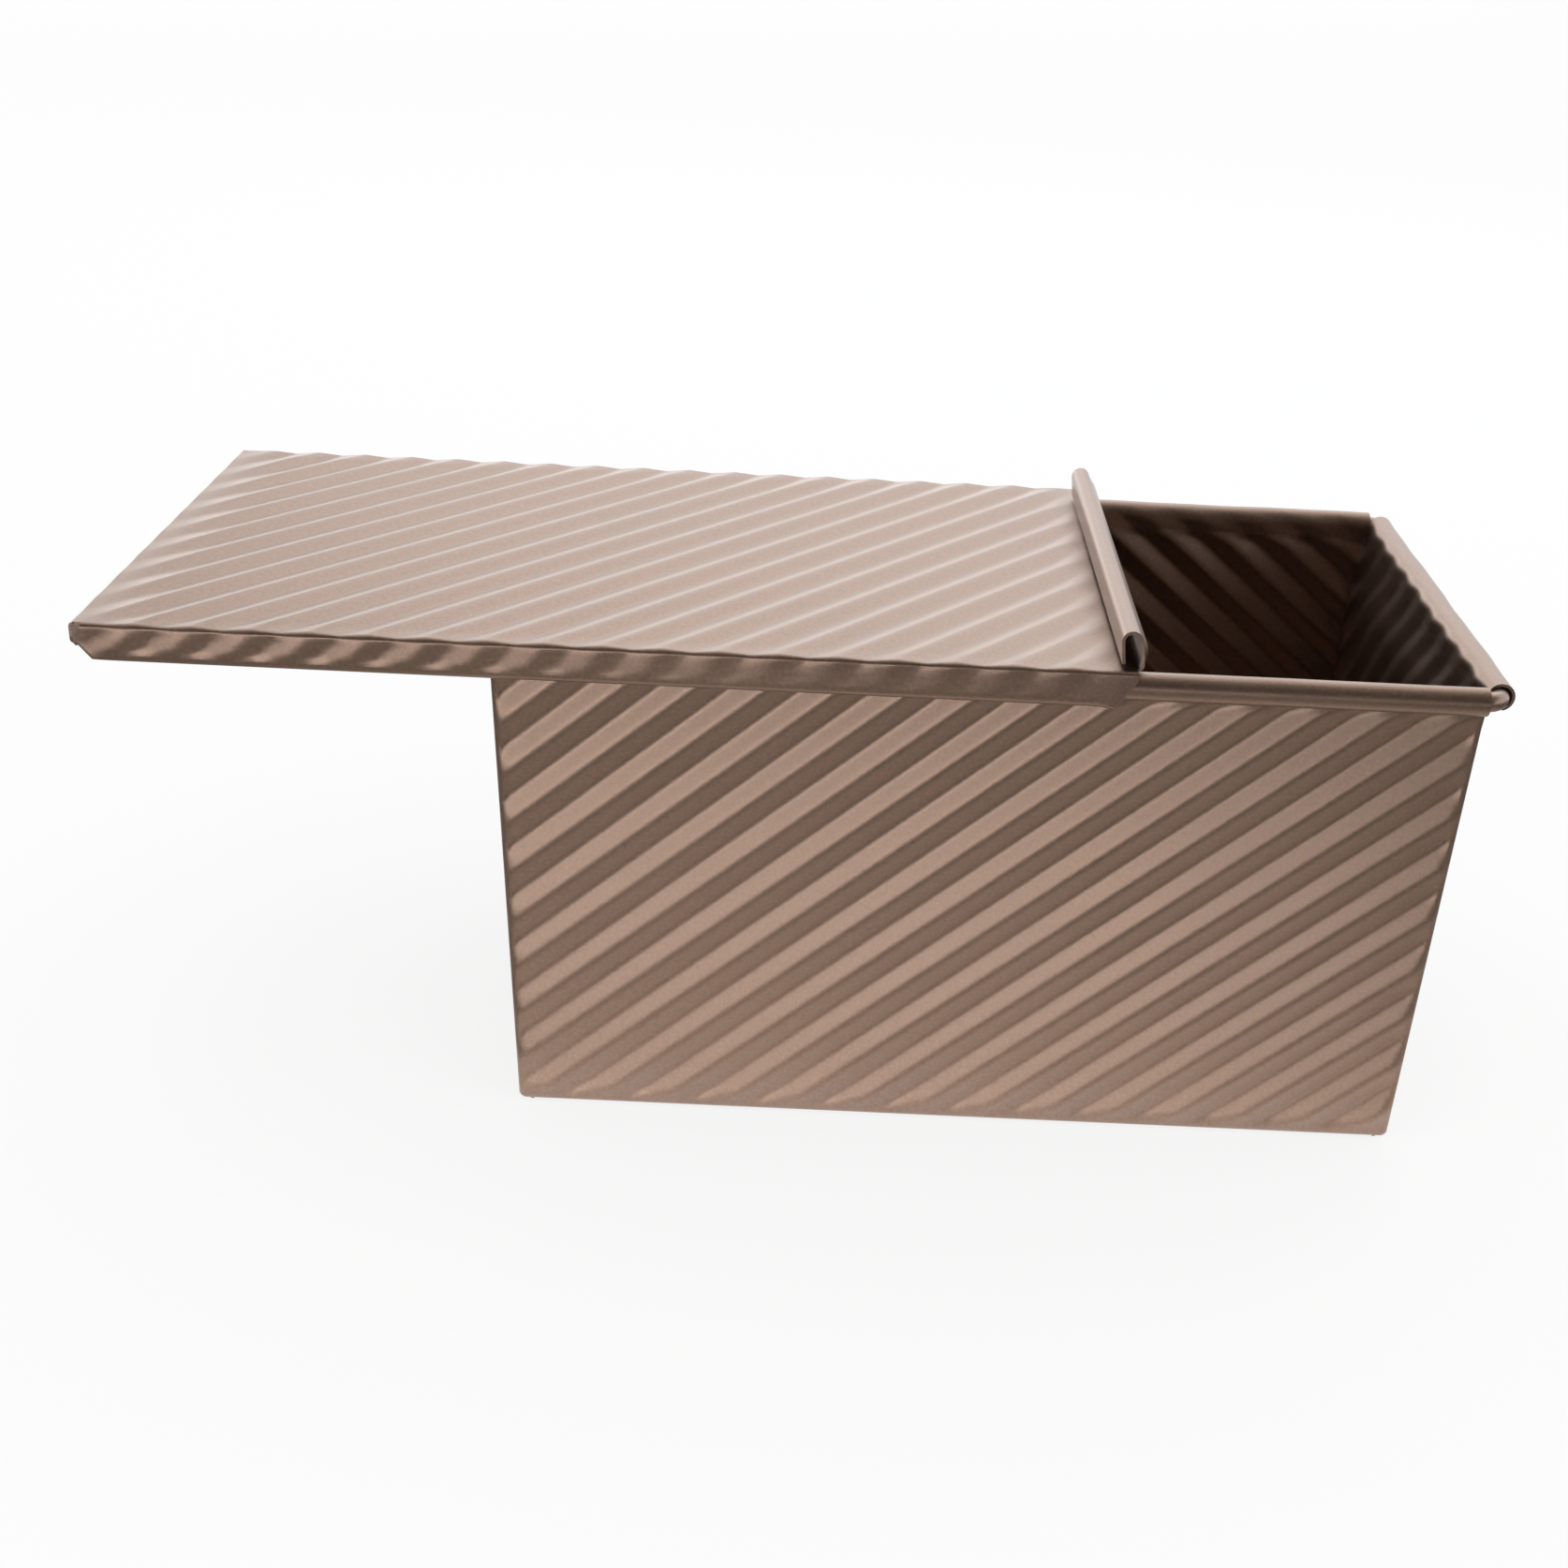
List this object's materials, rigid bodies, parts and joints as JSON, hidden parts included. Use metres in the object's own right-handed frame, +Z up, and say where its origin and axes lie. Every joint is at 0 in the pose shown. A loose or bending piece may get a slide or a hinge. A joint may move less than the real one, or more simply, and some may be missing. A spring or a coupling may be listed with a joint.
{
  "type": "pullman loaf pan",
  "caption": "Tapered loaf tin of diagonally corrugated sheet with a wire-cored rolled rim, closed by a flat corrugated lid that slides on hooked rails and has a curled grip.",
  "frame": {"origin": "middle of the underside of the pan, on the plane it stands on", "axes": "+X along the pan's length towards the open end of the mouth, +Y to the back, +Z up"},
  "size_m": [0.2859, 0.1254, 0.1201],
  "materials": {
    "coated_sheet": "satin champagne metallic non-stick coating on thin steel sheet",
    "coated_wire": "satin champagne metallic coating on round steel wire"
  },
  "bodies": {
    "pan": {"base_panel": "coated_sheet", "front_wall": "coated_sheet", "back_wall": "coated_sheet", "left_end_wall": "coated_sheet", "right_end_wall": "coated_sheet", "left_front_flap": "coated_sheet", "left_back_flap": "coated_sheet", "right_front_flap": "coated_sheet", "right_back_flap": "coated_sheet", "rim_roll_front": "coated_sheet", "rim_roll_back": "coated_sheet", "rim_roll_left": "coated_sheet", "rim_roll_right": "coated_sheet", "rim_wire": "coated_wire"},
    "lid": {"lid_panel": "coated_sheet", "lid_front_rail": "coated_sheet", "lid_back_rail": "coated_sheet", "lid_end_stop": "coated_sheet", "lid_grip": "coated_sheet"}
  },
  "joints": [
    {"name": "lid_slide", "type": "slide", "parent": "pan", "child": "lid", "axis": [1, 0, 0], "range_m": [-0.12, 0.0748]}
  ]
}
